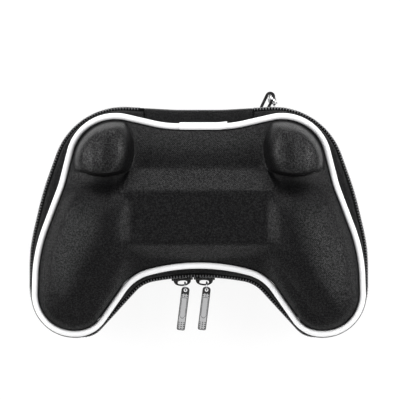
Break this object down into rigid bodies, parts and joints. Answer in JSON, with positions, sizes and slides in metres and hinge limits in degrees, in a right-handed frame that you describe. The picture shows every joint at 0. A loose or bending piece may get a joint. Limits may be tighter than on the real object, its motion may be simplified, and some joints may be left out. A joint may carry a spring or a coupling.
{
  "type": "controller carrying case",
  "caption": "Moulded soft case with a hinged lid, white piping and a zip round its rim, shaped to hold a twin-grip game controller, with a webbing loop and a swivel clasp",
  "frame": {"origin": "middle of the flat of the back shell that the case rests on", "axes": "+X along the case width, +Y to the hinge side, +Z to the front shell"},
  "size_m": [0.1748, 0.1273, 0.067],
  "materials": {
    "shell_fabric": "black satin nylon weave over moulded foam",
    "white_piping": "white satin piping cord",
    "zip_tape": "black woven tape",
    "zip_coil": "black plastic coil teeth",
    "black_trim": "black enamel, slightly glossy",
    "silver_metal": "bright plated metal with fine scratches",
    "webbing": "black ribbed webbing"
  },
  "bodies": {
    "back_half": {"back_shell": "shell_fabric", "back_piping": "white_piping", "back_piping_sleeve": "white_piping", "back_zip_tape": "zip_tape", "back_zip_coil": "zip_coil", "hinge_panel": "zip_tape", "strap_loop": "webbing"},
    "front_half": {"front_shell": "shell_fabric", "front_piping": "white_piping", "front_piping_sleeve": "white_piping", "front_zip_tape": "zip_tape", "front_zip_coil": "zip_coil"},
    "left_slider": {"left_slider": "black_trim"},
    "right_slider": {"right_slider": "black_trim"},
    "left_link": {"left_pull_link": "silver_metal"},
    "right_link": {"right_pull_link": "silver_metal"},
    "left_tab": {"left_pull_tab": "silver_metal"},
    "right_tab": {"right_pull_tab": "silver_metal"},
    "clasp_eye": {"clasp_eye": "silver_metal"},
    "clasp_hook": {"clasp_hook": "silver_metal", "clasp_gate_pin": "silver_metal"},
    "clasp_gate": {"clasp_gate": "silver_metal"}
  },
  "joints": [
    {"name": "lid_hinge", "type": "hinge", "parent": "back_half", "child": "front_half", "pos_m": [0, 0.0562, 0.03], "axis": [-1, 0, 0], "range_deg": [0, 155], "deforming": ["hinge_panel"]},
    {"name": "left_slider_travel", "type": "hinge", "parent": "back_half", "child": "left_slider", "pos_m": [0, -0.16206, 0.03], "axis": [0, 0, 1], "range_deg": [0, 3.4]},
    {"name": "right_slider_travel", "type": "hinge", "parent": "back_half", "child": "right_slider", "pos_m": [0, -0.16206, 0.03], "axis": [0, 0, 1], "range_deg": [-5.9, 0]},
    {"name": "left_link_swing", "type": "hinge", "parent": "left_slider", "child": "left_link", "pos_m": [-0.00837, -0.03628, 0.03], "axis": [0.9978, 0.0664, 0], "range_deg": [-70, 70]},
    {"name": "right_link_swing", "type": "hinge", "parent": "right_slider", "child": "right_link", "pos_m": [0.00279, -0.03604, 0.03], "axis": [0.9998, -0.0221, 0], "range_deg": [-70, 70]},
    {"name": "left_tab_swing", "type": "hinge", "parent": "left_link", "child": "left_tab", "pos_m": [-0.0069, -0.03889, 0.03], "axis": [0, 0, 1], "range_deg": [-45, 8]},
    {"name": "right_tab_swing", "type": "hinge", "parent": "right_link", "child": "right_tab", "pos_m": [0.00403, -0.03876, 0.03], "axis": [0, 0, 1], "range_deg": [-8, 45]},
    {"name": "clasp_swing", "type": "hinge", "parent": "back_half", "child": "clasp_eye", "pos_m": [0.03839, 0.06026, 0.022], "axis": [-0.6428, 0.766, 0], "range_deg": [-40, 40], "deforming": ["strap_loop"]},
    {"name": "clasp_swivel", "type": "hinge", "parent": "clasp_eye", "child": "clasp_hook", "pos_m": [0.03839, 0.06026, 0.012], "axis": [0, 0, 1], "continuous": true},
    {"name": "gate_hinge", "type": "hinge", "parent": "clasp_hook", "child": "clasp_gate", "pos_m": [0.03672, 0.06225, 0.00381], "axis": [0.766, 0.6428, 0], "range_deg": [0, 28], "stiffness_Nm_per_rad": 0.002}
  ]
}
